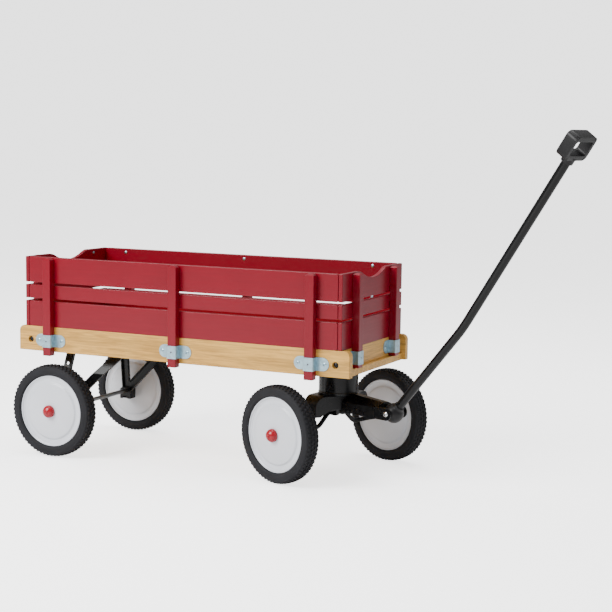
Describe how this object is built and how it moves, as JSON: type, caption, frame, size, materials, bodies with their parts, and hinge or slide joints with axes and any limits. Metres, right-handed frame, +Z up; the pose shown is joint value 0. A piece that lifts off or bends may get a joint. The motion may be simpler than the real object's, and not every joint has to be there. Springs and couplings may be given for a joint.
{
  "type": "kids pull wagon",
  "caption": "Wooden pull wagon for children: lift-out slatted panels on a timber bed, steel disc wheels with rubber tyres, steered front axle and a hinged pull handle.",
  "frame": {"origin": "centre of the cargo deck's top face", "axes": "+X forward towards the pull handle, +Y to the wagon's left, +Z up out of the deck"},
  "size_m": [1.608, 0.542, 0.9015],
  "materials": {
    "natural_wood": "clear lacquered hardwood",
    "red_paint_wood": "glossy red paint on wood",
    "zinc_steel": "bright zinc plated",
    "black_enamel": "glossy black enamel",
    "white_enamel": "glossy white enamel",
    "tyre_rubber": "matt black rubber",
    "red_plastic": "glossy red plastic",
    "black_plastic": "glossy black plastic",
    "bright_steel": "plain bright steel",
    "chrome": "bright plated"
  },
  "bodies": {
    "bed": {"side_rail_left": "natural_wood", "side_rail_right": "natural_wood", "end_board_front": "natural_wood", "end_board_rear": "natural_wood", "floor_panel": "natural_wood", "rail_bolts": "black_enamel", "stake_brackets": "zinc_steel", "bracket_screws": "zinc_steel", "rear_brace_left": "black_enamel", "rear_brace_right": "black_enamel", "rear_axle": "bright_steel", "gear_bolts": "zinc_steel", "turntable_cup": "black_enamel", "kingpin": "bright_steel", "wheel_spacers_rear": "zinc_steel", "wheel_rear_left_hub_cap": "red_plastic", "wheel_rear_right_hub_cap": "red_plastic"},
    "front_gear": {"front_bolster": "black_enamel", "thrust_washer": "zinc_steel", "front_axle": "black_enamel", "axle_clamps": "black_enamel", "yoke": "black_enamel", "yoke_rivet": "chrome", "wheel_spacers_front": "zinc_steel", "wheel_front_left_hub_cap": "red_plastic", "wheel_front_right_hub_cap": "red_plastic"},
    "handle": {"handle_ball": "black_plastic", "handle_tube": "black_enamel", "handle_grip": "black_plastic"},
    "wheel_rear_left": {"wheel_rear_left_tyre": "tyre_rubber", "wheel_rear_left_disc": "white_enamel"},
    "wheel_rear_right": {"wheel_rear_right_tyre": "tyre_rubber", "wheel_rear_right_disc": "white_enamel"},
    "wheel_front_left": {"wheel_front_left_tyre": "tyre_rubber", "wheel_front_left_disc": "white_enamel"},
    "wheel_front_right": {"wheel_front_right_tyre": "tyre_rubber", "wheel_front_right_disc": "white_enamel"},
    "left_panel": {"left_panel_screws": "zinc_steel", "left_panel_slat_bottom": "red_paint_wood", "left_panel_slat_middle": "red_paint_wood", "left_panel_slat_top": "red_paint_wood", "left_panel_stakes": "red_paint_wood"},
    "right_panel": {"right_panel_screws": "zinc_steel", "right_panel_slat_bottom": "red_paint_wood", "right_panel_slat_middle": "red_paint_wood", "right_panel_slat_top": "red_paint_wood", "right_panel_stakes": "red_paint_wood"},
    "front_panel": {"front_panel_screws": "zinc_steel", "front_panel_slat_bottom": "red_paint_wood", "front_panel_slat_middle": "red_paint_wood", "front_panel_slat_top": "red_paint_wood", "front_panel_stakes": "red_paint_wood"},
    "rear_panel": {"rear_panel_screws": "zinc_steel", "rear_panel_slat_bottom": "red_paint_wood", "rear_panel_slat_middle": "red_paint_wood", "rear_panel_slat_top": "red_paint_wood", "rear_panel_stakes": "red_paint_wood"}
  },
  "joints": [
    {"name": "front_steering", "type": "hinge", "parent": "bed", "child": "front_gear", "pos_m": [0.383, 0, -0.09], "axis": [0, 0, 1], "range_deg": [-25, 64]},
    {"name": "handle_lift", "type": "hinge", "parent": "front_gear", "child": "handle", "pos_m": [0.56881, -0.06544, -0.119], "axis": [0.3322, 0.9432, 0], "range_deg": [-38, 56]},
    {"name": "wheel_rear_left_spin", "type": "hinge", "parent": "bed", "child": "wheel_rear_left", "pos_m": [-0.376, 0.2065, -0.1775], "axis": [0, 1, 0], "continuous": true},
    {"name": "wheel_rear_right_spin", "type": "hinge", "parent": "bed", "child": "wheel_rear_right", "pos_m": [-0.376, -0.2065, -0.1775], "axis": [0, 1, 0], "continuous": true},
    {"name": "wheel_front_left_spin", "type": "hinge", "parent": "front_gear", "child": "wheel_front_left", "pos_m": [0.44499, 0.1971, -0.1775], "axis": [0.3322, 0.9432, 0], "continuous": true},
    {"name": "wheel_front_right_spin", "type": "hinge", "parent": "front_gear", "child": "wheel_front_right", "pos_m": [0.30781, -0.19245, -0.1775], "axis": [0.3322, 0.9432, 0], "continuous": true},
    {"name": "left_panel_lift_out", "type": "slide", "parent": "bed", "child": "left_panel", "axis": [0, 0, 1], "range_m": [0, 0.3]},
    {"name": "right_panel_lift_out", "type": "slide", "parent": "bed", "child": "right_panel", "axis": [0, 0, 1], "range_m": [0, 0.3]},
    {"name": "front_panel_lift_out", "type": "slide", "parent": "bed", "child": "front_panel", "axis": [0, 0, 1], "range_m": [0, 0.3]},
    {"name": "rear_panel_lift_out", "type": "slide", "parent": "bed", "child": "rear_panel", "axis": [0, 0, 1], "range_m": [0, 0.3]}
  ]
}
